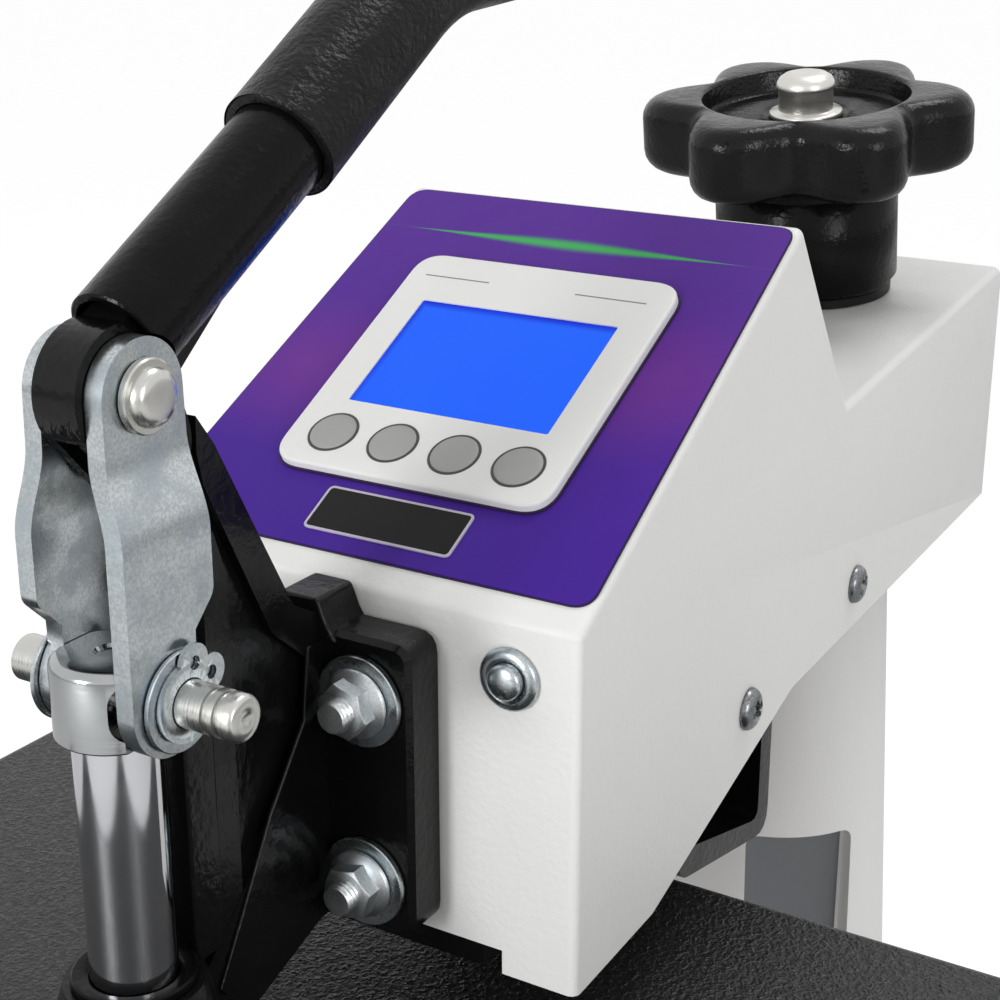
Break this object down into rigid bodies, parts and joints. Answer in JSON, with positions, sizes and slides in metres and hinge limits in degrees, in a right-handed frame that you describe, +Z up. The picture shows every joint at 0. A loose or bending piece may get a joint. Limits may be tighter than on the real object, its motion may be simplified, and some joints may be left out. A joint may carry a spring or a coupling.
{
  "type": "swing-away heat press",
  "caption": "Heat press whose heated platen swings aside on an upright; a toggle lever and links push it down onto a padded table.",
  "frame": {"origin": "on the bench, below the middle of the base's bounding box", "axes": "+Z up, +Y from the operator towards the upright, +X to the operator's right"},
  "size_m": [0.406, 0.7, 0.6082],
  "materials": {
    "white_powder_coat": "fine textured powder coat",
    "black_casting": "gloss black",
    "black_tube": "gloss black",
    "grip": "satin moulded",
    "dark_plastic": "satin",
    "zinc": "bright zinc plate",
    "turned_steel": "turned",
    "chrome": "polished",
    "knob": "gloss phenolic",
    "panel_purple": "printed film",
    "bezel": "satin",
    "lcd": "backlit",
    "key": "satin",
    "shroud": "leather-grained black",
    "aluminium": "machined",
    "board": "mineral board",
    "foot_rubber": "matte",
    "pad_silicone": "sponge silicone"
  },
  "bodies": {
    "base": {"base_spine": "white_powder_coat", "base_bar_front": "white_powder_coat", "base_bar_rear": "white_powder_coat", "foot_front_left": "foot_rubber", "foot_front_right": "foot_rubber", "foot_rear_left": "foot_rubber", "foot_rear_right": "foot_rubber", "pedestal": "white_powder_coat", "table_spider": "white_powder_coat", "lower_table": "aluminium", "silicone_pad": "pad_silicone", "upright_post": "white_powder_coat", "thrust_ring": "zinc"},
    "head": {"arm_casting": "black_casting", "head_cover": "white_powder_coat", "panel_overlay": "panel_purple", "controller_bezel": "bezel", "lcd_window": "lcd", "lower_window": "dark_plastic", "button_ring": "zinc", "switch_frame": "dark_plastic", "power_inlet": "dark_plastic", "lever_bracket": "black_casting", "rod_bush": "dark_plastic", "fulcrum_pin": "zinc", "washer_lower_left": "zinc", "washer_lower_right": "zinc", "washer_upper_left": "zinc", "washer_upper_right": "zinc", "nut_lower_left": "zinc", "nut_lower_right": "zinc", "nut_upper_left": "zinc", "nut_upper_right": "zinc", "knob_ring": "dark_plastic"},
    "lever": {"lever": "black_casting", "handle_tube": "black_tube", "handle_grip": "grip", "top_pin": "zinc"},
    "links": {"link_left": "zinc", "link_right": "zinc", "cross_pin": "turned_steel", "cross_washer_left": "zinc", "cross_washer_right": "zinc", "retaining_clip": "zinc"},
    "platen": {"press_rod": "chrome", "rod_collar": "zinc", "heat_plate": "aluminium", "insulation_board": "board", "platen_shroud": "shroud"},
    "knob": {"pressure_knob": "knob", "knob_cap_nut": "turned_steel", "knob_spindle": "turned_steel"},
    "key_1": {"key_1": "key"},
    "key_2": {"key_2": "key"},
    "key_3": {"key_3": "key"},
    "key_4": {"key_4": "key"},
    "front_button": {"front_button": "zinc"},
    "power_rocker": {"power_rocker": "dark_plastic"}
  },
  "joints": [
    {"name": "head_swing", "type": "hinge", "parent": "base", "child": "head", "pos_m": [0, 0.2575, 0.36], "axis": [0, 0, 1], "range_deg": [0, 100]},
    {"name": "lever_hinge", "type": "hinge", "parent": "head", "child": "lever", "pos_m": [0, -0.1256, 0.48698], "axis": [1, 0, 0], "range_deg": [0, 120]},
    {"name": "link_hinge", "type": "hinge", "parent": "lever", "child": "links", "pos_m": [0, -0.1346, 0.50257], "axis": [1, 0, 0], "range_deg": [-120, 0]},
    {"name": "platen_slide", "type": "slide", "parent": "head", "child": "platen", "axis": [0, 0, -1], "range_m": [0, 0.03118]},
    {"name": "knob_turn", "type": "hinge", "parent": "head", "child": "knob", "pos_m": [0, 0.2564, 0.52648], "axis": [0, -0.1426, 0.9898], "continuous": true},
    {"name": "key_1_slide", "type": "slide", "parent": "head", "child": "key_1", "axis": [0, 0.4781, -0.8783], "range_m": [0, 0.0008], "stiffness_N_per_m": 400},
    {"name": "key_2_slide", "type": "slide", "parent": "head", "child": "key_2", "axis": [0, 0.4781, -0.8783], "range_m": [0, 0.0008], "stiffness_N_per_m": 400},
    {"name": "key_3_slide", "type": "slide", "parent": "head", "child": "key_3", "axis": [0, 0.4781, -0.8783], "range_m": [0, 0.0008], "stiffness_N_per_m": 400},
    {"name": "key_4_slide", "type": "slide", "parent": "head", "child": "key_4", "axis": [0, 0.4781, -0.8783], "range_m": [0, 0.0008], "stiffness_N_per_m": 400},
    {"name": "front_button_slide", "type": "slide", "parent": "head", "child": "front_button", "axis": [0, 1, 0], "range_m": [0, 0.0015], "stiffness_N_per_m": 400},
    {"name": "power_rocker_hinge", "type": "hinge", "parent": "head", "child": "power_rocker", "pos_m": [0.026, 0.3299, 0.40958], "axis": [1, 0, 0], "range_deg": [0, 14]}
  ],
  "couplings": [
    {"joint": "link_hinge", "follows": "lever_hinge", "ratio": -1},
    {"joint": "platen_slide", "follows": "lever_hinge", "m_per_rad": 0.014886}
  ]
}
